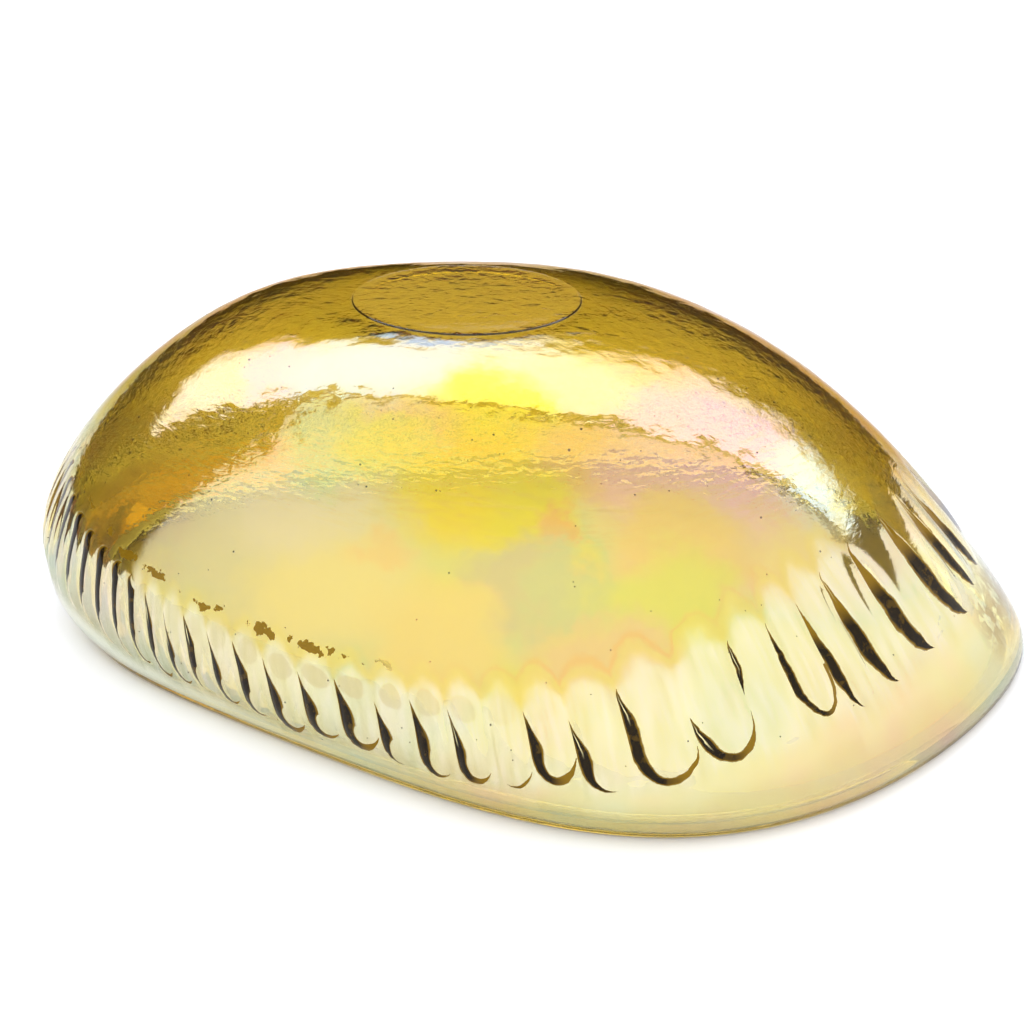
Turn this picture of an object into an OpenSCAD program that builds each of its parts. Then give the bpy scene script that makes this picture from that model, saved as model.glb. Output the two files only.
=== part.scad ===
// Hand-blown glass bowl with a fluted shoulder, standing mouth down on its fire-polished lip.
// X runs along the bowl's long axis towards its pointed tip, Z up out of the ground foot,
// and the origin is on the table under the middle of the bowl's box. Millimetres.
// The outer surface is a fan of quartic curves ("meridians"): each leaves the edge of the
// round foot at an angle t, and ends on the rim's curve. s runs from 0 at the foot to 1 at the rim.

/* [Bowl] */
// Height from the table to the face of the foot
bowl_height = 102.5; // [96:0.5:110]
// Half the rim's length, along X
rim_half_length = 153; // [146:1:160]
// Half the rim's width, along Y, before its waves are added
rim_half_width = 114.5; // [108:0.5:120]
// Thickness of the wall
wall = 4; // [3.6:0.1:4.4]

/* [Foot] */
// Radius of the foot
foot_radius = 35; // [32:0.5:38]
// Place of the foot's centre along X, from the middle of the rim
foot_shift = -26; // [-30:1:-22]
// Thickness of the foot
foot_thick = 0.8; // [0.6:0.1:1.6]
// Ground chamfer round the foot's face
foot_chamfer = 0.2; // [0.1:0.1:0.4]
// Bare ledge of wall round the foot
foot_ledge = 0.4; // [0.3:0.1:1]

/* [Lip] */
// Radius of the melted bead along the rim
bead_radius = 2.7; // [2.5:0.1:3]
// How far the lip band lies below the crests of the flutes
band_step = 1; // [0.4:0.1:1.4]

/* [Flutes] */
// Number of flutes round the shoulder
flutes = 74; // [66:1:76]
// Depth of the creases between the flutes
crease_depth = 1.8; // [1:0.1:2.2]
// How strongly the flutes crowd together away from the tip
crowding = 0.5; // [0:0.05:0.55]
// Unevenness of the hand-tooled flutes' widths
unevenness = 1; // [0:0.1:1]
// Twist of the flutes at the blunt end from foot to rim, in degrees
twist = 14; // [0:1:18]

/* [Lustre] */
// Thickness of the metallic lustre skin
film = 0.12; // [0.1:0.01:0.2]

/* [Hidden] */

// Control points of the meridians: [at the blunt end, at the tip, extra at the two sides].
// reach is the share of the way from the foot's edge to the rim, rise the share of the height.
reach = [[0, 0, 0], [0.504, 0.504, 0], [0.48, 0.565, 0], [1.46, 1.015, 0.014], [1, 1, 0]];
rise = [[1, 1, 0], [1, 0.92, 0], [0.94, 0.79, -0.03], [0.385, 0.135, -0.02], [0, 0, 0]];
// Waves that turn the rim's ellipse into a rounded shell: the second and third harmonics
rim_wave = [-0.036, -0.112];
// Where the flutes begin and end along the meridians: cosine terms 0, 1, 2 and 3 of t
flute_head = [0.656, -0.092, -0.08, 0.032];
flute_tail = [0.849, -0.075, -0.054, 0.031];
first_crease = -0.32;                       // place of the crease nearest the tip, in flutes

crown_z = bowl_height - foot_thick;         // flat top of the wall, under the foot
crown_radius = foot_radius + foot_ledge;
rim_z = 4;                                  // wall's edge above the table, before it is levelled
bead_lead = sqrt(pow(bead_radius, 2) - pow(wall / 2, 2)); // bead's axis beyond the wall's edge
degrees_per_radian = 180 / PI;
step_t = 0.05;                              // steps for the surface's slopes
step_s = 0.0005;

// Mesh: three columns to a flute, rows closer together along the flutes
columns_per_flute = 3;
columns = flutes * columns_per_flute;
dome_rows = [0, 0.24, 0.46, 0.66, 0.84];      // shares of the way from the foot to the flutes
flute_rows = [0, 0.25, 0.5, 0.75, 0.94];      // shares of a flute's length
lip_rows = [0, 0.5, 1];                       // shares of the way from the flutes to the rim
inner_rows = [0, 0.17, 0.34, 0.51, 0.68, 0.84, 1]; // shares of the way from foot to rim
bead_steps = 6;

function total(v) = v * [for (x = v) 1];
function ease(x) = let (u = max(0, min(1, x))) u * u * (3 - 2 * u);
function blend(m, t) = m[0] + (m[1] - m[0]) * (1 + cos(t)) / 2 + m[2] * pow(sin(t), 2);
function bernstein(i, s) = [1, 4, 6, 4, 1][i] * pow(s, i) * pow(1 - s, 4 - i);
function along(c, t, s) = total([for (i = [0:4]) bernstein(i, s) * blend(c[i], t)]);
function harmonics(c, t) = total([for (i = [0:len(c) - 1]) c[i] * cos(i * t)]);

// Smooth outer surface, without the flutes
function rim_edge(t) =
    [rim_half_length * cos(t),
     rim_half_width * sin(t) * (1 + rim_wave[0] * cos(2 * t) + rim_wave[1] * cos(3 * t))];
function body(t, s) =
    let (
        start = [foot_shift + crown_radius * cos(t), crown_radius * sin(t)],
        out = start + (rim_edge(t) - start) * along(reach, t, s)
    )
    [out[0], out[1], crown_z * along(rise, t, s) + rim_z * bernstein(4, s)];
function down(t, s) = // unit vector along the meridian, towards the rim
    let (d = body(t, min(1, s + step_s)) - body(t, max(0, s - step_s))) d / norm(d);
function outward(t, s) = // unit normal of the outer surface
    let (n = cross(down(t, s), body(t + step_t, s) - body(t - step_t, s))) n / norm(n);

// The lip's bead follows the rim. Levelling lowers each meridian's end so that
// the whole bead touches the table.
function bead_centre(t) = body(t, 1) - outward(t, 1) * wall / 2 + down(t, 1) * bead_lead;
function levelled(p, t, s) = p - [0, 0, (bead_centre(t)[2] - bead_radius) * pow(s, 4)];

// Column angles. Even steps of phase give flutes that are wide at the tip, narrow at the
// blunt end and uneven by a fraction of a flute. lead is how far an angle runs ahead of its
// phase, and settle finds the angle that has a given phase.
function lead(t) =
    degrees_per_radian * (crowding * sin(t) + 0.05 * sin(2 * t))
    + unevenness * 360 / flutes * (0.15 * sin(4 * t) - 0.22 * cos(4 * t) - 0.24 * cos(9 * t));
function settle(phase, t, rounds) =
    rounds == 0 ? t : settle(phase, phase + lead(t), rounds - 1);
column_angles = [
    for (i = [0:columns - 1])
        let (phase = 360 * (i / columns + first_crease / flutes)) settle(phase, phase, 100)
];
function column_angle(i, s) =
    let (t = column_angles[i]) t + twist * (1 - cos(t)) / 2 * (s - 0.8);

function head(t) = harmonics(flute_head, t);
function tail(t) = harmonics(flute_tail, t);
function outer_stations(t) = concat(
    [for (k = dome_rows) head(t) * k],
    [for (k = flute_rows) head(t) + (tail(t) - head(t)) * k],
    [for (k = lip_rows) tail(t) + (1 - tail(t)) * k]);

// Depth below the smooth surface: creases between the flutes, and the stepped-in lip band
function relief(i, t, s) =
    let (
        v = (s - head(t)) / (tail(t) - head(t)),
        in_crease = i % columns_per_flute == 0
    )
    v >= 1 ? band_step * (1 - ease((s - tail(t)) / (1 - tail(t))))
           : in_crease ? crease_depth * ease(2 * v) : 0;

function outer_point(i, j, lift) =
    let (
        u = column_angle(i, 0.8),
        s = outer_stations(u)[j],
        t = column_angle(i, s)
    )
    levelled(body(t, s) + outward(t, s) * (lift - relief(i, u, s)), t, s);
function inner_point(i, s) =
    let (t = column_angle(i, s)) levelled(body(t, s) - outward(t, s) * wall, t, s);

outer_count = len(dome_rows) + len(flute_rows) + len(lip_rows);
inner_count = len(inner_rows);
outer = [for (j = [0:outer_count - 1]) for (i = [0:columns - 1]) outer_point(i, j, 0)];
inner = [for (s = inner_rows) for (i = [0:columns - 1]) inner_point(i, s)];
film_top = [for (j = [0:outer_count - 1]) for (i = [0:columns - 1]) outer_point(i, j, film)];

// Rows of the bead, from the wall's outer corner round to its inner corner
bead_first = -atan2(bead_lead, wall / 2);
bead = [
    for (k = [0:bead_steps]) for (i = [0:columns - 1])
        let (
            t = column_angle(i, 1),
            a = bead_first + (180 - 2 * bead_first) * k / bead_steps,
            p = bead_centre(t) + bead_radius * (outward(t, 1) * cos(a) + down(t, 1) * sin(a))
        )
        levelled(p, t, 1)
];

// Middle of the whole bowl's box, which the origin stands under
hull_points = concat(film_top, bead);
function middle(axis) =
    let (v = [for (p = hull_points) p[axis]]) (min(v) + max(v)) / 2;
centre = [middle(0), middle(1), 0];

// Two triangles for each cell between the rings of points that start at a and b
function band(a, b, facing_out) = [
    for (i = [0:columns - 1])
        let (
            next = (i + 1) % columns,
            quad = [a + i, a + next, b + next, b + i]
        )
        each facing_out
            ? [[quad[0], quad[1], quad[2]], [quad[0], quad[2], quad[3]]]
            : [[quad[0], quad[2], quad[1]], [quad[0], quad[3], quad[2]]]
];
function bands(first, rows, facing_out) = [
    for (j = [0:rows - 2])
        each band(first + j * columns, first + (j + 1) * columns, facing_out)
];
function fan(ring, hub, facing_up) = [
    for (i = [0:columns - 1])
        let (next = (i + 1) % columns)
        facing_up ? [ring + i, hub, ring + next] : [ring + i, ring + next, hub]
];

module bowl_wall() {
    inner_start = outer_count * columns;
    outer_hub = (outer_count + inner_count) * columns;
    hubs = [[foot_shift, 0, crown_z], [foot_shift, 0, crown_z - wall]];
    color([0.86, 0.72, 0.36, 0.6])
        translate(-centre)
            polyhedron(
                points = concat(outer, inner, hubs),
                faces = concat(
                    bands(0, outer_count, true),
                    bands(inner_start, inner_count, false),
                    band((outer_count - 1) * columns, outer_hub - columns, true),
                    fan(0, outer_hub, true),
                    fan(inner_start, outer_hub + 1, false)));
}

module foot_pad() {
    color([0.72, 0.57, 0.22, 0.7])
        translate([foot_shift - centre[0], -centre[1], crown_z])
            rotate_extrude($fn = 96)
                polygon([
                    [0, 0],
                    [foot_radius, 0],
                    [foot_radius, foot_thick - foot_chamfer],
                    [foot_radius - foot_chamfer, foot_thick],
                    [0, foot_thick]
                ]);
}

module lip_bead() {
    color([0.9, 0.8, 0.5, 0.7])
        translate(-centre)
            polyhedron(
                points = bead,
                faces = concat(
                    bands(0, bead_steps + 1, true),
                    band(0, bead_steps * columns, false)));
}

module lustre_film() {
    under = outer_count * columns;
    last = (outer_count - 1) * columns;
    color([0.95, 0.85, 0.65, 0.4])
        translate(-centre)
            polyhedron(
                points = concat(film_top, outer),
                faces = concat(
                    bands(0, outer_count, true),
                    bands(under, outer_count, false),
                    band(under, 0, true),
                    band(last, under + last, true)));
}

bowl_wall();
foot_pad();
lip_bead();
lustre_film();
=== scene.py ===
# The looks of a hand-blown fluted glass bowl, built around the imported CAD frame.
#
# The bowl stands mouth down. Everything is in metres, in the frame of the CAD part: X along the
# long axis towards the tip, Z up out of the foot, origin on the table under the bowl.

import math
from types import SimpleNamespace

import bpy
import numpy as np
from mathutils import Euler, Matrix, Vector, noise


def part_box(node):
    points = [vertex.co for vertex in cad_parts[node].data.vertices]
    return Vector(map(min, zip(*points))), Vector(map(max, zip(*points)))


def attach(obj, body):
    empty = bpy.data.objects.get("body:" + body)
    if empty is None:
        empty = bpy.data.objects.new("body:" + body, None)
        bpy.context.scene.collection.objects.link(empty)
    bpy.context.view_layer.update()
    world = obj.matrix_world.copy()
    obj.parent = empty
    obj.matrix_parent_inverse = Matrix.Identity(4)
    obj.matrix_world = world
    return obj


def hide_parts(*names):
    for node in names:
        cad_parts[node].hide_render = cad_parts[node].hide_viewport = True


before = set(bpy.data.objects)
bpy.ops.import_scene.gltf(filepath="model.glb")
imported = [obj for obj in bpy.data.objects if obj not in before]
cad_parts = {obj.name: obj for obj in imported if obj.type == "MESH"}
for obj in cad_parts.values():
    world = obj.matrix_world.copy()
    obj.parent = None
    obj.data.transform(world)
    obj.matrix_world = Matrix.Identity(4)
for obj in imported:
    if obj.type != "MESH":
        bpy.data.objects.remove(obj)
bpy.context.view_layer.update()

MM = 0.001

# ---------------------------------------------------------------------------------------
# Driving dimensions. Lengths here are in millimetres. They repeat the part's source, apart
# from RIM_FROM_FOOT, CREASE_DEPTH, ROUND_FROM and FOOT_SWELL, which are the looks' own.
# REACH, RISE, RIM_WAVE, FLUTE_HEAD and FLUTE_TAIL are the results of a fit to the photograph.
# ---------------------------------------------------------------------------------------
foot_low, foot_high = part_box("foot_pad")
FOOT_RADIUS = (foot_high.x - foot_low.x) / 2 / MM
FOOT_X = (foot_high.x + foot_low.x) / 2 / MM
FOOT_TOP = foot_high.z / MM
CROWN_Z = foot_low.z / MM
FOOT_LEDGE = 0.4
CROWN_RADIUS = FOOT_RADIUS + FOOT_LEDGE
RIM_HALF_LENGTH = 153.0
RIM_HALF_WIDTH = 114.5
RIM_FROM_FOOT = 25.85
RIM_X = FOOT_X + RIM_FROM_FOOT
RIM_Z = 4.0
WALL = 4.0
BEAD_RADIUS = 2.7
BEAD_LEAD = math.sqrt(BEAD_RADIUS**2 - (WALL / 2) ** 2)

REACH = [[0, 0, 0], [0.504, 0.504, 0], [0.48, 0.565, 0], [1.46, 1.015, 0.014], [1, 1, 0]]
RISE = [[1, 1, 0], [1, 0.92, 0], [0.94, 0.79, -0.03], [0.385, 0.135, -0.02], [0, 0, 0]]
RIM_WAVE = [-0.036, -0.112]

FLUTES = 74
CREASE_DEPTH = 1.9
BAND_STEP = 1.0
ROUND_FROM = 0.62  # place down a flute where its finger starts to round off
CROWDING = 0.5
TWIST = 14.0
FLUTE_HEAD = [0.656, -0.092, -0.08, 0.032]
FLUTE_TAIL = [0.849, -0.075, -0.054, 0.031]
FIRST_CREASE = -0.32
SETTLING_STEPS = 120  # rounds in which the uneven spacing of the flutes settles

# Mesh of the visual surfaces
COLUMNS_PER_FLUTE = 7
COLUMNS = FLUTES * COLUMNS_PER_FLUTE
DOME_ROWS = 100
FLUTE_ROWS = 38
LIP_ROWS = 12
INNER_ROWS = 30
BEAD_ROWS = 18

RIPPLE = 0.085    # height of the hammered ripple on the dome
JOINT = 0.02      # overlap of fused glass pieces
FOOT_SWELL = 0.4  # rise of the glass round the foot, where the foot is fused on
SKIN_LIFT = 0.05  # lustre skin above the glass

# Seed bubbles
SEEDS = 340
SEED_SIZE = 0.20    # radius of the smallest
SEED_SPREAD = 0.26  # how much larger the largest is
SEED_POKE = 0.09    # how far each stands out of the lustre skin
SEED_FIRST_ROW = 30
SEED_LAST_ROWS = 8  # rows next to the lip that are left free

rng = np.random.default_rng(11)
flute_depth = 1 + 0.22 * rng.uniform(-1, 1, FLUTES)
flute_drop = 0.012 * rng.uniform(-1, 1, FLUTES)

# Painted shade: each crease gets a dark line in the lustre's colour and opacity.
# The dark stroke in each crease: where it starts and ends on the path round its finger, and
# its weight. Flutes are counted from the tip, anticlockwise; those in front are set one by one.
from_tip = 0.5 - 0.5 * np.cos(2 * np.pi * (np.arange(FLUTES) + 0.5) / FLUTES)
crease_shade_plan = np.stack([
    rng.uniform(-0.05, 0.22, FLUTES),
    rng.uniform(0.95, 1.30, FLUTES),
    rng.uniform(0.30, 0.52, FLUTES) * (0.5 + 0.5 * from_tip),
], -1)
FRONT_CREASE_SHADE = {
    0: (0.02, 1.04, 0.32), 1: (0.05, 1.04, 0.32),
    40: (-0.10, 1.00, 0.50), 41: (-0.10, 1.00, 0.55), 42: (-0.35, 1.05, 0.80),
    43: (-0.40, 1.10, 0.85), 44: (-0.40, 1.05, 0.90), 45: (-0.40, 1.10, 0.85),
    46: (-0.40, 1.10, 0.90), 47: (-0.40, 1.05, 0.85), 48: (-0.40, 1.10, 0.90),
    49: (-0.35, 1.15, 0.85), 50: (-0.15, 1.25, 0.75), 51: (0.00, 1.30, 0.66),
    52: (0.15, 1.30, 0.60), 53: (0.00, 1.15, 0.68), 54: (0.10, 1.30, 0.60),
    55: (0.05, 1.25, 0.66), 56: (0.12, 1.40, 0.58), 57: (0.15, 1.35, 0.60),
    58: (0.08, 1.45, 0.54), 59: (0.20, 1.15, 0.52), 60: (0.10, 1.30, 0.50),
    61: (0.15, 1.40, 0.46), 62: (0.85, 1.45, 0.26), 63: (0.15, 1.50, 0.38),
    64: (0.22, 1.20, 0.38), 65: (0.00, 1.50, 0.25), 66: (0.42, 1.55, 0.24),
    67: (-0.05, 0.60, 0.20), 68: (0.00, 1.85, 0.14), 69: (0.02, 1.02, 0.25),
    70: (-0.10, 1.04, 0.28), 71: (-0.15, 1.04, 0.29), 72: (-0.15, 1.08, 0.33),
    73: (-0.05, 1.06, 0.33),
}
for flute, stroke in FRONT_CREASE_SHADE.items():
    crease_shade_plan[flute] = stroke


# ---------------------------------------------------------------------------------------
# The bowl's surface. Angles t are in radians, s runs from 0 at the foot to 1 at the rim.
# ---------------------------------------------------------------------------------------
def ease(x):
    u = np.clip(x, 0, 1)
    return u * u * (3 - 2 * u)


def ends_tight(count, first, last):
    """Steps from 0 to 1, with one narrow step of the given size at either end to hold it crisp."""
    inner = np.linspace(first, 1 - last, count - (first > 0) - 1)
    return np.concatenate([[0.0] if first > 0 else [], inner, [1.0]])


def harmonics(terms, t):
    return sum(c * np.cos(k * t) for k, c in enumerate(terms))


def along(table, t, s):
    weights = (1, 4, 6, 4, 1)
    total = 0
    for k, (blunt, tip, side) in enumerate(table):
        value = blunt + (tip - blunt) * (1 + np.cos(t)) / 2 + side * np.sin(t) ** 2
        total = total + weights[k] * s**k * (1 - s) ** (4 - k) * value
    return total


def body(t, s):
    """The smooth outer surface, without flutes or ripple."""
    start_x = FOOT_X + CROWN_RADIUS * np.cos(t)
    start_y = CROWN_RADIUS * np.sin(t)
    wave = 1 + RIM_WAVE[0] * np.cos(2 * t) + RIM_WAVE[1] * np.cos(3 * t)
    end_x = RIM_X + RIM_HALF_LENGTH * np.cos(t)
    end_y = RIM_HALF_WIDTH * np.sin(t) * wave
    g = along(REACH, t, s)
    z = CROWN_Z * along(RISE, t, s) + RIM_Z * s**4
    return np.stack([start_x + (end_x - start_x) * g, start_y + (end_y - start_y) * g, z], -1)


def directions(t, s):
    """Unit vectors along the meridian towards the rim, and out of the surface."""
    e = 5e-4
    down = body(t, np.clip(s + e, 0, 1)) - body(t, np.clip(s - e, 0, 1))
    down /= np.linalg.norm(down, axis=-1, keepdims=True)
    out = np.cross(down, body(t + e, s) - body(t - e, s))
    out /= np.linalg.norm(out, axis=-1, keepdims=True)
    return down, out


def level(points, t, s):
    """Lowers each meridian's end so that the whole lip bead touches the table."""
    one = np.ones_like(t)
    down, out = directions(t, one)
    centre = body(t, one) - out * WALL / 2 + down * BEAD_LEAD
    points[..., 2] -= (centre[..., 2] - BEAD_RADIUS) * s**4
    return points


def column_angles():
    phase = 2 * np.pi * (np.arange(COLUMNS) / COLUMNS + FIRST_CREASE / FLUTES)
    t = phase.copy()
    for _ in range(SETTLING_STEPS):
        uneven = 0.15 * np.sin(4 * t) - 0.22 * np.cos(4 * t) - 0.24 * np.cos(9 * t)
        t = phase + CROWDING * np.sin(t) + 0.05 * np.sin(2 * t) + 2 * np.pi / FLUTES * uneven
    return t


def twisted(angle, s):
    return angle + math.radians(TWIST) * (1 - np.cos(angle)) / 2 * (s - 0.8)


def down_flute(angle, flute, s):
    """How far down its flute a point lies: 0 at the head, 1 at the tail."""
    head = harmonics(FLUTE_HEAD, angle)
    tail = harmonics(FLUTE_TAIL, angle) + flute_drop[flute]
    return (s - head) / (tail - head)


def relief(angle, phase, s):
    """Depth below the smooth surface: each flute is a rounded finger between two creases."""
    flute = np.floor(phase).astype(int) % FLUTES
    v = down_flute(angle, flute, s)
    across = 2 * (phase - np.floor(phase)) - 1
    beyond = np.clip((v - ROUND_FROM) / (1 - ROUND_FROM), 0, None)
    finger = np.sqrt(np.clip(1 - (across**2 + beyond**2) ** 1.1, 0, 1))
    tail = harmonics(FLUTE_TAIL, angle)
    past = ease((s - tail) / (1 - tail))
    depth = CREASE_DEPTH * flute_depth[flute] * ease(v / 0.5)
    to_band = ease((v - 0.7) / 0.3)
    depth = (depth * (1 - to_band) + BAND_STEP * to_band) * (1 - past)
    return depth * (1 - finger)


def ripple(points, s):
    """Hammered ripple of the dome, longer round the bowl than down it."""
    strength = RIPPLE * (0.2 + 0.8 * (1 - ease((s - 0.30) / 0.35))) * (1 - ease((s - 0.8) / 0.2))
    rows = points.reshape(-1, 3)
    height = np.empty(len(rows))
    coarse_wide, coarse_tall = 9, 4
    fine_wide, fine_tall = 5, 2.2
    apart = 40
    for i, (x, y, z) in enumerate(rows):
        coarse = noise.noise(Vector((x / coarse_wide, y / coarse_wide, z / coarse_tall)))
        fine = noise.noise(Vector((x / fine_wide + apart, y / fine_wide, z / fine_tall)))
        height[i] = coarse + 0.7 * fine
    return strength * height.reshape(s.shape)


def stations(angle):
    head = harmonics(FLUTE_HEAD, angle)
    tail = harmonics(FLUTE_TAIL, angle)
    k = np.concatenate([
        np.linspace(0, 1, DOME_ROWS, endpoint=False),
        1 + np.linspace(0, 1, FLUTE_ROWS, endpoint=False),
        2 + ends_tight(LIP_ROWS, 0.0, 0.02),
    ])
    a, b = head[:, None], tail[:, None]
    dome = a * k
    flute = a + (b - a) * (k - 1)
    lip = b + (1 - b) * (k - 2)
    return np.where(k < 1, dome, np.where(k < 2, flute, lip))


def outer_surface():
    """Grids of the outer surface's points, normals, angles, stations and flute phases."""
    angle = column_angles()
    s = stations(angle)
    t = twisted(angle[:, None], s)
    phase = np.broadcast_to(np.arange(COLUMNS)[:, None] / COLUMNS_PER_FLUTE, s.shape)
    points = body(t, s)
    _, out = directions(t, s)
    broad = np.broadcast_to(angle[:, None], s.shape)
    lift = ripple(points, s) * ease(s / 0.02) - relief(broad, phase, s)
    lift += FOOT_SWELL * (1 - ease(s / 0.07))
    points = points + out * lift[..., None]
    return level(points, t, s), out, t, s, phase


def inner_surface():
    angle = column_angles()[:, None]
    s = np.broadcast_to(ends_tight(INNER_ROWS, 0.0, 0.003), (COLUMNS, INNER_ROWS))
    t = twisted(angle, s)
    _, out = directions(t, s)
    phase = np.broadcast_to(np.arange(COLUMNS)[:, None] / COLUMNS_PER_FLUTE, s.shape)
    echo = 0.35 * relief(np.broadcast_to(angle, s.shape), phase, s) * (1 - ease((s - 0.93) / 0.07))
    return level(body(t, s) - out * (WALL + echo)[..., None], t, s)


def bead_rows():
    """Rows of the lip bead, from the wall's outer corner round to its inner corner."""
    angle = column_angles()
    one = np.ones_like(angle)
    t = twisted(angle, one)
    down, out = directions(t, one)
    centre = body(t, one) - out * WALL / 2 + down * BEAD_LEAD
    first = -math.atan2(BEAD_LEAD, WALL / 2)
    rows = []
    for turn in ends_tight(BEAD_ROWS, 0.02, 0.02):
        a = first + (math.pi - 2 * first) * turn
        ring = centre - JOINT * down + BEAD_RADIUS * (out * math.cos(a) + down * math.sin(a))
        rows.append(level(ring, t, one))
    return np.stack(rows, 1)


# ---------------------------------------------------------------------------------------
# Meshes
# ---------------------------------------------------------------------------------------
def ring_quads(first, second, n):
    """Quads between two rings of n points that start at first and second, facing out."""
    i = np.arange(n)
    nxt = (i + 1) % n
    return np.stack([first + i, second + i, second + nxt, first + nxt], -1)


def make_piece(name, vertices, quads, fans=()):
    """A smooth mesh object from points in millimetres, quads and closing fans."""
    mesh = bpy.data.meshes.new(name)
    faces = [tuple(q) for q in np.concatenate(quads).tolist()]
    for ring, hub, up in fans:
        n = len(ring)
        for i in range(n):
            a, b = ring[i], ring[(i + 1) % n]
            faces.append((a, b, hub) if up else (b, a, hub))
    mesh.from_pydata((np.asarray(vertices) * MM).tolist(), [], faces)
    mesh.validate()
    mesh.polygons.foreach_set("use_smooth", [True] * len(mesh.polygons))
    mesh.update()
    piece = bpy.data.objects.new(name, mesh)
    bpy.context.scene.collection.objects.link(piece)
    return piece


def by_rows(grid):
    """Points of a (column, row) grid, one ring after another."""
    return np.swapaxes(grid, 0, 1).reshape(-1, grid.shape[-1])


def add_number(mesh, name, values):
    layer = mesh.attributes.new(name, "FLOAT", "POINT")
    layer.data.foreach_set("value", np.asarray(values, np.float32))


def bowl_glass(outer):
    inner = inner_surface()
    rows = outer.shape[1]
    inner_start = rows * COLUMNS
    vertices = np.concatenate([
        by_rows(outer),
        by_rows(inner),
        [[FOOT_X, 0, CROWN_Z + FOOT_SWELL], [FOOT_X, 0, CROWN_Z - WALL]],
    ])
    quads = [ring_quads(j * COLUMNS, (j + 1) * COLUMNS, COLUMNS) for j in range(rows - 1)]
    for j in range(INNER_ROWS - 1):
        a = inner_start + j * COLUMNS
        quads.append(ring_quads(a + COLUMNS, a, COLUMNS))
    last_inner = inner_start + (INNER_ROWS - 1) * COLUMNS
    quads.append(ring_quads((rows - 1) * COLUMNS, last_inner, COLUMNS))
    hub = last_inner + COLUMNS
    fans = [
        (list(range(COLUMNS)), hub, True),
        (list(range(inner_start, inner_start + COLUMNS)), hub + 1, False),
    ]
    return make_piece("bowl_glass", vertices, quads, fans)


def lustre_skin(outer, out, t, s, phase):
    lifted = outer + out * SKIN_LIFT
    rows = outer.shape[1]
    quads = [ring_quads(j * COLUMNS, (j + 1) * COLUMNS, COLUMNS) for j in range(rows - 1)]
    piece = make_piece("lustre_skin", by_rows(lifted), quads)
    mesh = piece.data
    angle = np.broadcast_to(column_angles()[:, None], s.shape)

    def flat(grid):
        return np.broadcast_to(grid, s.shape).T.reshape(-1)

    add_number(mesh, "station", flat(s))
    add_number(mesh, "bluntness", flat((1 - np.cos(angle)) / 2))
    # UV maps, set corner by corner so that each face belongs to one flute: its number with the
    # place down it, its stroke's start and end, and its stroke's weight
    corners = np.empty(len(mesh.loops), np.int32)
    mesh.loops.foreach_get("vertex_index", corners)
    u = flat(phase)[corners].reshape(-1, 4)
    wrapped = (u.max(1, keepdims=True) - u) > FLUTES / 2
    u = np.where(wrapped, u + FLUTES, u)
    flute = np.floor(u.min(1, keepdims=True)).astype(int) % FLUTES
    flute = np.broadcast_to(flute, u.shape).reshape(-1)
    v = down_flute(flat(angle)[corners], flute, flat(s)[corners])
    plan = crease_shade_plan[flute]
    maps = {
        "flutes": np.stack([u.reshape(-1), v], -1),
        "crease_shade_plan": plan[:, :2],
        "weights": np.repeat(plan[:, 2:], 2, axis=1),
    }
    for name, values in maps.items():
        layer = mesh.uv_layers.new(name=name)
        layer.data.foreach_set("uv", values.astype(np.float32).reshape(-1))
    return piece


def lip_bead():
    grid = bead_rows()
    rows = grid.shape[1]
    quads = [ring_quads(j * COLUMNS, (j + 1) * COLUMNS, COLUMNS) for j in range(rows - 1)]
    quads.append(ring_quads((rows - 1) * COLUMNS, 0, COLUMNS))
    return make_piece("lip_bead_glass", by_rows(grid), quads)


def lathe(name, profile, segments, centre):
    """A closed turned solid from (radius, height) points, first and last on the axis."""
    ring_points = profile[1:-1]
    a = np.linspace(0, 2 * np.pi, segments, endpoint=False)
    rings = [
        np.stack([centre[0] + r * np.cos(a), centre[1] + r * np.sin(a), 0 * a + z], -1)
        for r, z in ring_points
    ]
    hubs = [[centre[0], centre[1], profile[0][1]], [centre[0], centre[1], profile[-1][1]]]
    n = segments
    quads = [ring_quads(j * n, (j + 1) * n, n) for j in range(len(rings) - 1)]
    first_hub = n * len(rings)
    fans = [
        (list(range(n)), first_hub, True),
        (list(range(first_hub - n, first_hub)), first_hub + 1, False),
    ]
    return make_piece(name, np.concatenate(rings + [np.array(hubs)]), quads, fans)


def foot_disc():
    """The ground foot: a low bevel round a face that dips by a hair inside its rim."""
    bevel = [(0.36, 0.0), (0.32, 0.005), (0.28, 0.02), (0.06, 0.18), (0.02, 0.22), (0.0, 0.27)]
    fillet = 0.08
    base = CROWN_Z + FOOT_SWELL - JOINT
    dip = 0.1
    dip_rings = 12
    dip_inset, slope_inset, rim_inset = 8, 5.5, 4.2
    profile = [(0, FOOT_TOP - dip)]
    for k in range(1, dip_rings + 1):
        r = (FOOT_RADIUS - dip_inset) * k / dip_rings
        profile.append((r, FOOT_TOP - dip))
    profile.append((FOOT_RADIUS - slope_inset, FOOT_TOP - dip * 0.6))
    profile.append((FOOT_RADIUS - rim_inset, FOOT_TOP))
    profile += [(FOOT_RADIUS - inset, FOOT_TOP - drop) for inset, drop in bevel]
    for k in range(5):
        a = math.pi / 2 * k / 4
        profile.append((FOOT_RADIUS + fillet * (1 - math.cos(a)), base + fillet * (1 - math.sin(a))))
    profile.append((FOOT_RADIUS + fillet - 0.1, base))
    profile += [(FOOT_RADIUS / 2, base), (0, base)]
    return lathe("foot_disc", profile, 256, (FOOT_X, 0))


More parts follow.
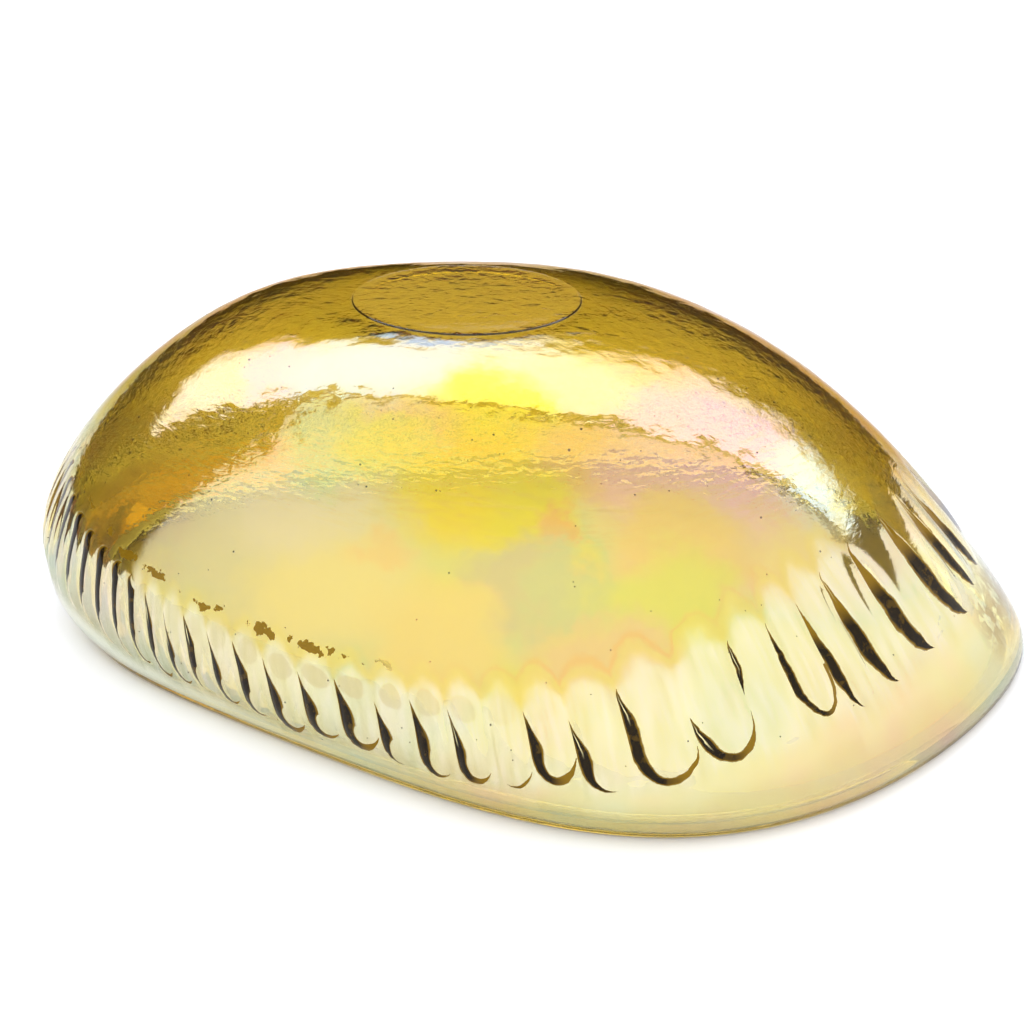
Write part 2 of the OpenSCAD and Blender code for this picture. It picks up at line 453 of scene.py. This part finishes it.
def seed_bubbles(outer, out):
    """Small gas bubbles just under the outer surface."""
    columns = rng.integers(0, COLUMNS, SEEDS)
    rows = rng.integers(SEED_FIRST_ROW, outer.shape[1] - SEED_LAST_ROWS, SEEDS)
    vertices, quads = [], []
    ring, bands = 8, 5
    for c, r in zip(columns, rows):
        size = SEED_SIZE + SEED_SPREAD * rng.random() ** 3
        centre = outer[c, r] + out[c, r] * (SKIN_LIFT + SEED_POKE - size)
        axis = Vector(out[c, r])
        turn = axis.to_track_quat("Z", "Y").to_matrix()
        start = len(vertices)
        for j in range(1, bands):
            polar = math.pi * j / bands
            for i in range(ring):
                a = 2 * math.pi * i / ring
                wide = size * math.sin(polar)
                local = Vector((wide * math.cos(a), wide * math.sin(a), size * math.cos(polar)))
                vertices.append(list(Vector(centre) + turn @ local))
        for j in range(bands - 2):
            quads.append(ring_quads(start + j * ring, start + (j + 1) * ring, ring))
        top, bottom = start, start + (bands - 2) * ring
        for cap, up in ((top, True), (bottom, False)):
            a = np.arange(ring // 2 - 1)
            lo = cap + a
            hi = cap + ring - 1 - a
            block = np.stack([lo, lo + 1, hi - 1, hi], -1)
            quads.append(block if up else block[:, ::-1])
    return make_piece("seed_bubbles", vertices, quads)


# ---------------------------------------------------------------------------------------
# Materials
# ---------------------------------------------------------------------------------------
class Shader:
    """A material and short ways of adding nodes to it."""

    def __init__(self, name, owner=None, output="OutputMaterial"):
        self.material = owner or bpy.data.materials.new(name)
        self.material.use_nodes = True
        self.tree = self.material.node_tree
        self.tree.nodes.clear()
        self.output = self.node(output)

    @classmethod
    def for_world(cls, name):
        world = bpy.data.worlds.new(name)
        bpy.context.scene.world = world
        return cls(name, world, "OutputWorld")

    def put(self, socket, value):
        if isinstance(value, bpy.types.NodeSocket):
            self.tree.links.new(value, socket)
        else:
            socket.default_value = value

    def node(self, kind, inputs=None, **settings):
        made = self.tree.nodes.new("ShaderNode" + kind)
        for key, value in settings.items():
            setattr(made, key, value)
        for key, value in (inputs or {}).items():
            self.put(made.inputs[key], value)
        return made

    def math(self, operation, a, b=0.0, clamp=False):
        made = self.node("Math", {0: a, 1: b}, operation=operation, use_clamp=clamp)
        return made.outputs[0]

    def add(self, a, b):
        return self.math("ADD", a, b)

    def sub(self, a, b):
        return self.math("SUBTRACT", a, b)

    def mul(self, a, b):
        return self.math("MULTIPLY", a, b)

    def top(self, a, b):
        return self.math("MAXIMUM", a, b)

    def step(self, value, low, high):
        """Smooth step from 0 at low to 1 at high; low may be above high."""
        made = self.node(
            "MapRange",
            {"Value": value, "From Min": low, "From Max": high},
            interpolation_type="SMOOTHSTEP",
        )
        return made.outputs["Result"]

    def attribute(self, name):
        return self.node("Attribute", attribute_name=name).outputs["Fac"]

    def position(self):
        return self.node("TexCoord").outputs["Object"]

    def scaled(self, vector, scale):
        made = self.node("Mapping", {"Vector": vector, "Scale": scale})
        return made.outputs["Vector"]

    def noise(self, vector, scale, detail=3.0, roughness=0.5, distortion=0.0, out="Fac"):
        made = self.node("TexNoise", {
            "Vector": vector, "Scale": scale, "Detail": detail,
            "Roughness": roughness, "Distortion": distortion,
        })
        return made.outputs[out]

    def ramp(self, value, stops, mode="LINEAR"):
        made = self.node("ValToRGB", {"Fac": value})
        elements = made.color_ramp.elements
        made.color_ramp.interpolation = mode
        while len(elements) < len(stops):
            elements.new(0.5)
        for element, (place, colour) in zip(elements, stops):
            element.position = place
            element.color = (*colour, 1)
        return made.outputs["Color"]

    def blend(self, factor, a, b):
        made = self.node("Mix", data_type="RGBA")
        self.put(made.inputs[0], factor)
        self.put(made.inputs[6], a)
        self.put(made.inputs[7], b)
        return made.outputs[2]

    def surface(self, shader, volume=None):
        self.put(self.output.inputs["Surface"], shader)
        if volume is not None:
            self.put(self.output.inputs["Volume"], volume)
        return self.material


def hammered_bump(m, strength):
    """Fine ripple, too small for the mesh: drawn out round the bowl, and gone near the lip."""
    place = m.position()
    fine = m.noise(m.scaled(place, (240, 240, 620)), 1.0, 2, 0.5, 0.4)
    high = m.step(m.node("SeparateXYZ", {0: place}).outputs["Z"], 0.040, 0.075)
    strength = m.mul(m.add(high, 0.12), strength)
    made = m.node("Bump", {"Height": fine, "Strength": strength, "Distance": 0.0004})
    return made.outputs["Normal"]


AMBER = (0.95, 0.84, 0.0)  # colour that the glass lets through
WALL_DENSITY = 400
LIP_DENSITY = 130
FOOT_DENSITY = 160


def glass_material(name, density, bump=0.0):
    """Clear glass whose amber comes from its depth."""
    m = Shader(name)
    inputs = {
        "Base Color": (1, 1, 1, 1), "Roughness": 0.0, "IOR": 1.5, "Transmission Weight": 1.0,
    }
    glass = m.node("BsdfPrincipled", inputs)
    if bump:
        m.put(glass.inputs["Normal"], hammered_bump(m, bump))
    depth = m.node("VolumeAbsorption", {"Color": (*AMBER, 1), "Density": density})
    return m.surface(glass.outputs[0], depth.outputs[0])


def bump_of(m, value, centre, half):
    """1 at a centre value, falling smoothly to 0 at a distance of half to each side."""
    away = m.math("ABSOLUTE", m.sub(value, centre))
    return m.step(away, half, 0.0)


# Patches of interference colour in the lustre: centre and radius in millimetres, then colour.
# Most centres came from a script that placed points of the photograph on the fitted bowl. The
# radii and colours are set one by one.
CLOUDS = [
    ((-60, -80, 58), 42, (0.74, 0.76, 0.48)),
    ((-105, -68, 53), 20, (0.66, 0.58, 0.42)),
    ((-42, -94, 50), 22, (0.98, 0.88, 0.40)),
    ((-55, -78, 70), 21, (0.90, 0.86, 0.60)),
    ((-78, -52, 82), 22, (0.74, 0.60, 0.36)),
    ((-88, -48, 86), 16, (1.00, 0.90, 0.60)),
    ((-66, -48, 93), 13, (1.00, 0.76, 0.90)),
    ((-48, -56, 94), 17, (0.62, 0.90, 1.00)),
    ((-66, -64, 80), 10, (0.92, 0.62, 0.46)),
    ((-46, -70, 82), 17, (0.58, 0.88, 0.50)),
    ((-26, -48, 98), 18, (0.74, 0.94, 1.00)),
    ((0, -44, 100), 17, (0.98, 0.98, 0.66)),
    ((66, -74, 70), 20, (0.92, 0.72, 0.38)),
    ((82, -71, 58), 16, (1.00, 0.84, 0.40)),
    ((64, -54, 82), 28, (1.00, 0.58, 0.78)),
    ((40, -54, 90), 15, (1.00, 0.62, 0.66)),
    ((90, -44, 66), 20, (0.76, 1.00, 0.86)),
    ((-4, -62, 93), 15, (1.00, 1.00, 0.03)),
    ((20, -50, 96), 13, (1.00, 0.95, 0.50)),
    ((-28, -74, 84), 13, (0.84, 0.95, 0.24)),
    ((-4, -84, 80), 23, (1.00, 0.80, 0.03)),
    ((26, -76, 84), 14, (1.00, 0.60, 0.26)),
    ((41, -76, 79), 13, (1.00, 0.58, 0.62)),
    ((48, -88, 68), 16, (1.00, 0.72, 0.30)),
    ((10, -91, 73), 12, (0.88, 0.84, 0.06)),
    ((18, -92, 70), 7, (1.00, 0.48, 0.20)),
    ((-27, -93, 61), 8, (1.00, 0.72, 0.34)),
    ((14, -101, 60), 15, (0.62, 0.62, 0.44)),
    ((26, -101, 60), 12, (0.58, 0.74, 0.42)),
    ((50, -99, 56), 18, (0.78, 0.90, 0.22)),
    ((-8, -108, 46), 19, (1.00, 0.80, 0.34)),
    ((34, -110, 46), 15, (0.92, 0.66, 0.42)),
]
CLOUD_SQUASH = (0.8, 1.0, 1.35)  # patches are longer than wide, and wider than tall
CLOUD_FADE = 1.28                # shares of a patch's radius where it is gone and where it is full
CLOUD_FULL = 0.5
CLOUD_STRENGTH = 0.92
CLOUD_TEAR = 0.04                # metres by which noise tears the edges, at most about half of it
LINES_HEIGHT = 0.074             # metres above the table of the fine drawn lines
LINES_REACH = 0.016
LINES_OLIVE = (0.72, 0.62, 0.22, 1)


def pearl(m, place, station):
    """Colour of the lustre in reflected light: broad clouds with torn edges."""
    drift = m.noise(m.scaled(place, (14, 14, 26)), 1.0, 4, 0.45, 0.6)
    order = m.add(m.mul(drift, 2.3), m.mul(station, 0.9))
    colour = m.ramp(m.math("FRACT", order), [
        (0.00, (0.95, 0.86, 0.22)),
        (0.16, (0.98, 0.72, 0.20)),
        (0.32, (0.96, 0.58, 0.34)),
        (0.46, (0.90, 0.66, 0.50)),
        (0.60, (0.84, 0.80, 0.40)),
        (0.76, (0.62, 0.80, 0.40)),
        (0.88, (0.80, 0.86, 0.24)),
        (1.00, (0.95, 0.86, 0.22)),
    ])
    broad = m.noise(place, 30, 8, 0.68, out="Color")
    shift = m.node("VectorMath", {0: broad, 1: (0.5, 0.5, 0.5)}, operation="SUBTRACT")
    shift = m.node("VectorMath", {0: shift.outputs[0], "Scale": CLOUD_TEAR}, operation="SCALE")
    moved = m.node("VectorMath", {0: place, 1: shift.outputs[0]}, operation="ADD").outputs[0]
    for centre, radius, tint in CLOUDS:
        middle = tuple(c * MM for c in centre)
        offset = m.node("VectorMath", {0: moved, 1: middle}, operation="SUBTRACT").outputs[0]
        offset = m.node("VectorMath", {0: offset, 1: CLOUD_SQUASH}, operation="MULTIPLY").outputs[0]
        reach = m.node("VectorMath", {0: offset}, operation="LENGTH")
        inside = m.step(reach.outputs["Value"], radius * CLOUD_FADE * MM, radius * CLOUD_FULL * MM)
        colour = m.blend(m.mul(inside, CLOUD_STRENGTH), colour, (*tint, 1))
    # Fine lines drawn round the bowl by the blowing
    lines = m.noise(m.scaled(place, (110, 110, 1500)), 1.0, 2, 0.5, 0.5)
    height = m.node("SeparateXYZ", {0: place}).outputs["Z"]
    lines = m.mul(m.step(lines, 0.50, 0.62), bump_of(m, height, LINES_HEIGHT, LINES_REACH))
    return m.blend(m.mul(lines, 0.35), colour, LINES_OLIVE)


# Colours of the marks and borders in the lustre
# Painted shade in the creases, brown with a black core; the brown also colours the blots. The gold
# is a painted highlight inside that shade.
SHADE_AND_BLOT_BROWN = (0.19, 0.105, 0.006, 1)
CREASE_SHADE_BLACK = (0.010, 0.006, 0.003, 1)
CREASE_GLINT_GOLD = (0.95, 0.85, 0.45, 1)
# Painted dark reflection in the lip band at the tip
TIP_REFLECTION_BROWN = (0.34, 0.22, 0.06, 1)
# Painted shadow round each finger's head
HEAD_SHADOW_OLIVE = (0.62, 0.56, 0.32, 1)
BORDER_GOLD = (1.0, 0.86, 0.26, 1)
BORDER_CORAL = (1.0, 0.52, 0.24, 1)
PALE_LIP = (0.93, 0.94, 0.84, 1)
TINT_HIGH = (0.50, 0.34, 0.12, 1)  # edge tint of the film on the dome
TINT_LOW = (1, 1, 1, 1)            # and low down, near the lip

# Painted shade in the creases, measured along the path round a finger
PATH_HEAD = 0.15     # place down the flute where the path starts round the finger's head
PATH_TURN = 0.28     # length of path per radian round an end
STROKE_SWELL = 0.46  # length over which a stroke widens
STROKE_CLOSE = 0.50  # length over which it narrows again
STROKE_BOOT = 0.34   # added to the first and taken from the second at the tip: widest low down
BLOT_ROW = -0.12     # place of the blots, just above the flutes' heads


def flute_places(m, place):
    """Where a point lies in its flute, and on the path round the flute's finger."""
    flutes = m.node("SeparateXYZ", {0: m.node("UVMap", uv_map="flutes").outputs[0]})
    phase, v = flutes.outputs["X"], flutes.outputs["Y"]
    # Number of the flute, and place across it: -1 at its left edge and 1 at its right
    whole = m.math("FLOOR", phase)
    across = m.sub(m.mul(m.sub(phase, whole), 2.0), 1.0)
    rough = m.sub(m.noise(place, 450, 3, 0.6), 0.5)
    wave = m.sub(m.noise(place, 130, 2), 0.5)
    # The path goes down the finger's left edge, then on round its rounded tail
    tail = m.top(m.mul(m.sub(v, ROUND_FROM), 1 / (1 - ROUND_FROM)), 0.0)
    head = m.top(m.mul(m.sub(PATH_HEAD, v), 1 / PATH_HEAD), 0.0)
    beyond = m.sub(tail, head)
    radius = m.math("SQRT", m.add(m.mul(across, across), m.mul(beyond, beyond)))
    turn = m.math("ARCTAN2", beyond, m.mul(across, -1.0))
    down = m.math("MINIMUM", m.top(v, PATH_HEAD), ROUND_FROM)
    uneven = m.add(m.mul(wave, 0.16), m.mul(rough, 0.08))
    return SimpleNamespace(
        phase=phase, v=v, whole=whole, across=across, wave=wave, tail=tail, beyond=beyond,
        radius=radius, path=m.add(down, m.mul(turn, PATH_TURN)),
        depth=m.add(m.sub(1.0, radius), uneven),
    )


def painted_crease_shade(m, flute, place, blunt):
    """Masks of painted shade in the creases: whole line, black core and a gold painted highlight."""
    plan = m.node("SeparateXYZ", {0: m.node("UVMap", uv_map="crease_shade_plan").outputs[0]}).outputs
    weight = m.node("SeparateXYZ", {0: m.node("UVMap", uv_map="weights").outputs[0]}).outputs[0]
    start, hook = plan[0], plan[1]
    boot = m.step(blunt, 0.26, 0.10)
    shift = m.mul(boot, STROKE_BOOT)
    swell = m.step(flute.path, start, m.add(start, m.add(STROKE_SWELL, shift)))
    close = m.step(flute.path, hook, m.sub(hook, m.sub(STROKE_CLOSE, shift)))
    # Thinner where the path runs across the flute's tail
    lean = m.math("DIVIDE", flute.tail, m.add(flute.radius, 0.001))
    squeeze = m.sub(1.0, m.mul(m.mul(lean, lean), 0.5))
    width = m.mul(m.mul(m.mul(swell, close), weight), squeeze)
    # No stroke up the straight part of the finger's right edge
    right = m.math("GREATER_THAN", flute.across, 0.0)
    straight = m.math("LESS_THAN", m.math("ABSOLUTE", flute.beyond), 0.001)
    width = m.mul(width, m.sub(1.0, m.mul(right, straight)))

    off = m.math("ABSOLUTE", m.sub(flute.depth, m.mul(width, 0.85)))
    line = m.mul(m.step(off, width, m.mul(width, 0.78)), m.math("GREATER_THAN", width, 0.012))

    dark = m.step(m.sub(flute.path, m.add(start, m.mul(boot, 0.40))), 0.06, 0.24)
    dark = m.mul(dark, m.step(flute.path, 1.22, 0.95))
    mottle = m.step(m.noise(place, 260, 3, 0.6), 0.36, 0.46)
    core = m.mul(m.step(off, m.mul(width, 0.80), m.mul(width, 0.5)), dark)
    core = m.mul(core, m.add(0.76, m.mul(mottle, 0.24)))

    seed = m.add(flute.whole, 0.5)
    chance = m.node("TexWhiteNoise", {"W": seed}, noise_dimensions="1D").outputs["Value"]
    crease_glint = m.step(off, m.mul(width, 0.16), 0.0)
    crease_glint = m.mul(crease_glint, bump_of(m, flute.path, m.add(start, 0.26), 0.16))
    crease_glint = m.mul(crease_glint, m.math("GREATER_THAN", chance, 0.55))
    return line, core, crease_glint


def golden_blots(m, flute, place, blunt):
    """Mask of the golden-brown blots above the flutes of the blunt end."""
    grain = m.noise(place, 150, 4, 0.6)
    blot = m.add(grain, m.mul(bump_of(m, flute.v, BLOT_ROW, 0.16), 0.22))
    blot = m.mul(m.step(blot, 0.74, 0.79), bump_of(m, flute.v, BLOT_ROW, 0.2))
    return m.step(m.mul(blot, m.step(blunt, 0.5, 0.7)), 0.2, 0.5)


def painted_tip_reflection(m, flute, place, blunt):
    """Mask of the brown painted dark reflection in the lip band, right at the tip."""
    tip_reflection = m.noise(m.scaled(place, (60, 260, 260)), 1.0, 4, 0.6)
    tip_reflection = m.mul(m.step(tip_reflection, 0.41, 0.51), bump_of(m, flute.v, 1.30, 0.50))
    return m.mul(tip_reflection, m.step(blunt, 0.04, 0.015))


def lip_colour(m, place, blunt):
    """Mint, yellow and peach patches in the lip band, paler on the blunt side."""
    patches = m.ramp(m.noise(place, 26, 2, 0.5), [
        (0.38, (0.84, 0.94, 0.66)), (0.50, (0.94, 0.90, 0.52)), (0.66, (1.0, 0.70, 0.54)),
    ])
    return m.blend(m.step(blunt, 0.55, 0.85), patches, PALE_LIP)


def finger_colour(m, flute, place, station, blunt):
    """Colour of the clean lustre, and the mask of the pearl fingers."""
    # Pearl fingers: paler than the dome, softly streaked along their length
    streak = m.node("CombineXYZ", {0: m.mul(flute.phase, 5.0), 1: m.mul(flute.v, 1.6)})
    bloom = m.ramp(m.noise(streak.outputs[0], 1.0, 2), [
        (0.30, (0.74, 0.76, 0.54)), (0.50, (0.86, 0.89, 0.70)), (0.70, (0.96, 0.96, 0.86)),
    ])
    scallop = m.mul(m.mul(flute.across, flute.across), 0.16)
    height = m.sub(m.add(flute.v, m.add(m.mul(flute.wave, 0.26), 0.16)), scallop)
    inside = m.mul(m.step(height, 0.0, 0.24), m.step(flute.v, 1.5, 0.9))
    colour = m.blend(m.mul(inside, 0.75), pearl(m, place, station), bloom)
    in_band = m.mul(m.step(flute.v, 0.95, 1.2), 0.75)
    colour = m.blend(in_band, colour, lip_colour(m, place, blunt))

    # An olive painted shadow round each finger's head, then the scalloped border of gold and coral
    from_head = m.sub(flute.v, 0.16)
    head_shadow = m.add(m.mul(flute.across, flute.across), m.mul(from_head, m.mul(from_head, 30.0)))
    head_shadow = m.step(m.add(m.math("SQRT", head_shadow), m.mul(flute.wave, 0.8)), 0.75, 0.6)
    head_shadow = m.mul(head_shadow, bump_of(m, blunt, 0.62, 0.26))
    gold = m.mul(bump_of(m, height, 0.03, 0.12), m.step(blunt, 0.86, 0.7))
    coral = m.mul(bump_of(m, height, -0.05, 0.055), bump_of(m, blunt, 0.36, 0.24))
    colour = m.blend(m.mul(head_shadow, 0.6), colour, HEAD_SHADOW_OLIVE)
    colour = m.blend(m.mul(gold, 0.5), colour, BORDER_GOLD)
    return m.blend(m.mul(coral, 0.6), colour, BORDER_CORAL), inside


def film_cover(m, flute, station, blunt, inside):
    """How much of the glass the clean film hides: more low down, and at a grazing angle."""
    cover = m.add(0.22, m.mul(m.step(station, 0.30, 0.55), 0.10))
    cover = m.add(cover, m.mul(inside, 0.18))
    pale = m.add(0.06, m.mul(m.step(blunt, 0.5, 0.85), 0.34))
    cover = m.add(cover, m.mul(m.step(flute.v, 0.95, 1.25), pale))
    facing = m.node("LayerWeight", {"Blend": 0.5}).outputs["Facing"]
    on_dome = m.sub(1.0, m.mul(m.step(station, 0.55, 0.8), 0.7))
    graze = m.mul(m.step(facing, 0.62, 0.92), on_dome)
    return m.top(cover, m.mul(graze, 0.9))


def lustre_material():
    m = Shader("lustre")
    place = m.position()
    station = m.attribute("station")
    blunt = m.attribute("bluntness")
    flute = flute_places(m, place)
    line, core, crease_glint = painted_crease_shade(m, flute, place, blunt)
    blot = golden_blots(m, flute, place, blunt)
    tip_reflection = painted_tip_reflection(m, flute, place, blunt)
    marks = m.top(line, blot)

    colour, inside = finger_colour(m, flute, place, station, blunt)
    # Brown painted reflection at the tip
    colour = m.blend(m.mul(tip_reflection, 0.9), colour, TIP_REFLECTION_BROWN)
    # Painted shade in the creases, brown with black cores and gold painted highlights; the blots
    # take the same brown.
    colour = m.blend(marks, colour, SHADE_AND_BLOT_BROWN)
    colour = m.blend(core, colour, CREASE_SHADE_BLACK)
    colour = m.blend(crease_glint, colour, CREASE_GLINT_GOLD)

    cover = m.top(film_cover(m, flute, station, blunt, inside), m.mul(tip_reflection, 0.75))
    outside = m.sub(1.0, m.node("NewGeometry").outputs["Backfacing"])
    opaque = m.mul(m.top(m.mul(line, 0.985), m.mul(blot, 0.9)), outside)
    sheen = m.node("BsdfPrincipled", {
        "Base Color": colour, "Metallic": m.sub(1.0, m.mul(marks, 0.9)), "Roughness": 0.06,
        "Alpha": m.top(cover, opaque), "Normal": hammered_bump(m, 0.18), "Specular IOR Level": 0.1,
        "Specular Tint": m.blend(m.step(station, 0.5, 0.75), TINT_HIGH, TINT_LOW),
    })
    return m.surface(sheen.outputs[0])


def seed_shade_material():
    m = Shader("seed_shade")
    # The near-black colour is painted shade: the bubbles themselves are clear gas.
    tone = m.noise(m.position(), 900, 1)
    colour = m.ramp(tone, [(0.3, (0.01, 0.006, 0.002)), (0.7, (0.08, 0.045, 0.006))])
    return m.surface(m.node("BsdfPrincipled", {"Base Color": colour, "Roughness": 0.5}).outputs[0])


def floor_material():
    m = Shader("studio_floor")
    mottle = m.noise(m.position(), 3.0, 2)
    tone = m.ramp(mottle, [(0.0, (0.94, 0.94, 0.94)), (1.0, (0.96, 0.96, 0.96))])
    return m.surface(m.node("BsdfPrincipled", {"Base Color": tone, "Roughness": 0.9}).outputs[0])


# ---------------------------------------------------------------------------------------
# The bowl
# ---------------------------------------------------------------------------------------
outer, out, t_grid, s_grid, phase_grid = outer_surface()

pieces = [
    (bowl_glass(outer), "bowl_wall", "amber_glass",
     glass_material("amber_glass", WALL_DENSITY, 0.35)),
    (lustre_skin(outer, out, t_grid, s_grid, phase_grid), "lustre_film", "lustre",
     lustre_material()),
    (lip_bead(), "lip_bead", "lip_glass",
     glass_material("lip_glass", LIP_DENSITY)),
    (foot_disc(), "foot_pad", "foot_glass",
     glass_material("foot_glass", FOOT_DENSITY, 0.1)),
    (seed_bubbles(outer, out), None, "amber_glass", seed_shade_material()),
]
for piece, node, slot, material in pieces:
    piece.data.materials.append(material)
    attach(piece, "root")
    if node:
        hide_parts(node)


# ---------------------------------------------------------------------------------------
# Studio: a pale floor, a white tent and strip light seen by direction, and the camera
# ---------------------------------------------------------------------------------------
FLOOR_REACH = 4.0  # metres from the middle to each edge

# The tent's edges are lines y = slope * x + height * z across directions (x, y, z)
SEAM_SLOPE = 0.38
SEAM_FRONT = 0.25     # height of the seam's near edge, where the front panel ends
SEAM_BACK = 0.32      # height of its far edge, where the strip light starts
SEAM_SOFTNESS = 0.02
# Far edge of the strip light: (x / z, y / z) of directions along it, set from the
# directions that the photograph's long highlight reflects
STRIP_EDGE = [
    (-2.0, 0.60), (-1.55, 0.86), (-0.9, 0.86), (-0.62, 0.96), (-0.44, 1.28),
    (0.1, 1.52), (0.4, 1.43), (0.75, 1.26), (1.9, 1.35),
]
EDGE_SPAN = 4.0       # range of x / z that the edge's ramp covers, half to each side
EDGE_TOP = 2.0        # the y / z that the ramp holds as white
EDGE_SOFTNESS = 0.09
STRIP_REACH = 2.05    # the x / z at which the strip ends, to each side
REACH_SOFTNESS = 0.05
ROOM_LIGHT = 0.10
FRONT_LIGHT = 1.5
STRIP_LIGHT = 2.7
STRIP_TINT = (0.90, 0.97, 1.18, 1)

# The camera was fitted to the photograph together with the bowl's outline
CAMERA_LENS = 52.73
CAMERA_SENSOR = 36
CAMERA_PLACE = (0.0585, -0.4343, 0.2413)
CAMERA_PITCH = 25.59
CAMERA_HEADING = 8.48
CAMERA_ROLL = 0.87
LIGHT_BOUNCES = 24


def studio_floor():
    mesh = bpy.data.meshes.new("floor")
    far = FLOOR_REACH
    corners = [(-far, -far, 0), (far, -far, 0), (far, far, 0), (-far, far, 0)]
    mesh.from_pydata(corners, [], [(0, 1, 2, 3)])
    floor = bpy.data.objects.new("floor", mesh)
    bpy.context.scene.collection.objects.link(floor)
    floor.data.materials.append(floor_material())


def behind(w, direction, height):
    """How far a direction lies behind one of the seam's edges."""
    x, y, z = direction
    return w.sub(y, w.add(w.mul(x, SEAM_SLOPE), w.mul(z, height)))


def front_panel(w, direction):
    """Mask of the bright front and ceiling. It gives way to the dim room further round on the
    blunt side, and comes further round to the back, near the horizon, on the tip's side."""
    x, _, z = direction
    left = w.top(w.add(w.mul(x, -1.0), w.mul(z, -0.7)), 0.0)
    left = w.math("MINIMUM", w.mul(left, 0.5), w.mul(z, 0.25))
    near_horizon = w.top(w.add(1.0, w.mul(z, -3.5)), 0.0)
    right = w.mul(w.top(x, 0.0), near_horizon)
    edge = w.add(behind(w, direction, SEAM_FRONT), left)
    edge = w.sub(edge, w.mul(right, 1.5))
    return w.step(edge, SEAM_SOFTNESS, -SEAM_SOFTNESS)


def strip_light(w, direction):
    """Mask of the strip light, between the seam and its own curved far edge."""
    x, y, z = direction
    curl = w.top(w.add(w.mul(x, -1.0), w.mul(z, -1.05)), 0.0)
    near = w.sub(behind(w, direction, SEAM_BACK), w.mul(curl, 0.75))
    strip = w.step(near, -SEAM_SOFTNESS, SEAM_SOFTNESS)
    share = w.math("DIVIDE", x, w.top(z, 0.001))
    share = w.math("ADD", w.mul(share, 1 / EDGE_SPAN), 0.5, clamp=True)
    stops = [(u / EDGE_SPAN + 0.5, (h / EDGE_TOP,) * 3) for u, h in STRIP_EDGE]
    far = w.sub(y, w.mul(w.mul(w.ramp(share, stops), z), EDGE_TOP))
    strip = w.mul(strip, w.step(far, EDGE_SOFTNESS, -EDGE_SOFTNESS))
    sideways = w.sub(w.math("ABSOLUTE", x), w.mul(z, STRIP_REACH))
    return w.mul(strip, w.step(sideways, REACH_SOFTNESS, -REACH_SOFTNESS))


def studio_world():
    """A white tent seen by direction: a bright front and ceiling, a brighter strip light behind
    a narrow gap in the ceiling, and a dim room low at the back."""
    w = Shader.for_world("tent")
    direction = w.node("SeparateXYZ", {0: w.node("TexCoord").outputs["Generated"]}).outputs
    front = front_panel(w, direction)
    strip = strip_light(w, direction)
    light = w.add(ROOM_LIGHT, w.mul(front, FRONT_LIGHT))
    light = w.add(light, w.mul(strip, STRIP_LIGHT))
    light = w.top(light, w.node("LightPath").outputs["Is Camera Ray"])
    tint = w.blend(strip, (1, 1, 1, 1), STRIP_TINT)
    sky = w.node("Background", {"Color": tint, "Strength": light})
    w.put(w.output.inputs["Surface"], sky.outputs[0])


def studio_camera():
    """The photograph's point of view: low over the near side, a little towards the tip."""
    data = bpy.data.cameras.new("camera")
    data.lens = CAMERA_LENS
    data.sensor_width = CAMERA_SENSOR
    camera = bpy.data.objects.new("camera", data)
    camera.location = CAMERA_PLACE
    pitch = math.radians(CAMERA_PITCH)
    heading = math.radians(CAMERA_HEADING)
    roll = math.radians(CAMERA_ROLL)
    aim = Euler((math.pi / 2 - pitch, 0, heading)).to_matrix() @ Euler((0, 0, roll)).to_matrix()
    camera.rotation_euler = aim.to_euler()
    bpy.context.scene.collection.objects.link(camera)
    bpy.context.scene.camera = camera


studio_floor()
studio_world()
studio_camera()

scene = bpy.context.scene
scene.view_settings.view_transform = "Standard"
scene.cycles.max_bounces = LIGHT_BOUNCES
scene.cycles.transmission_bounces = LIGHT_BOUNCES
scene.cycles.transparent_max_bounces = LIGHT_BOUNCES
scene.cycles.use_denoising = True
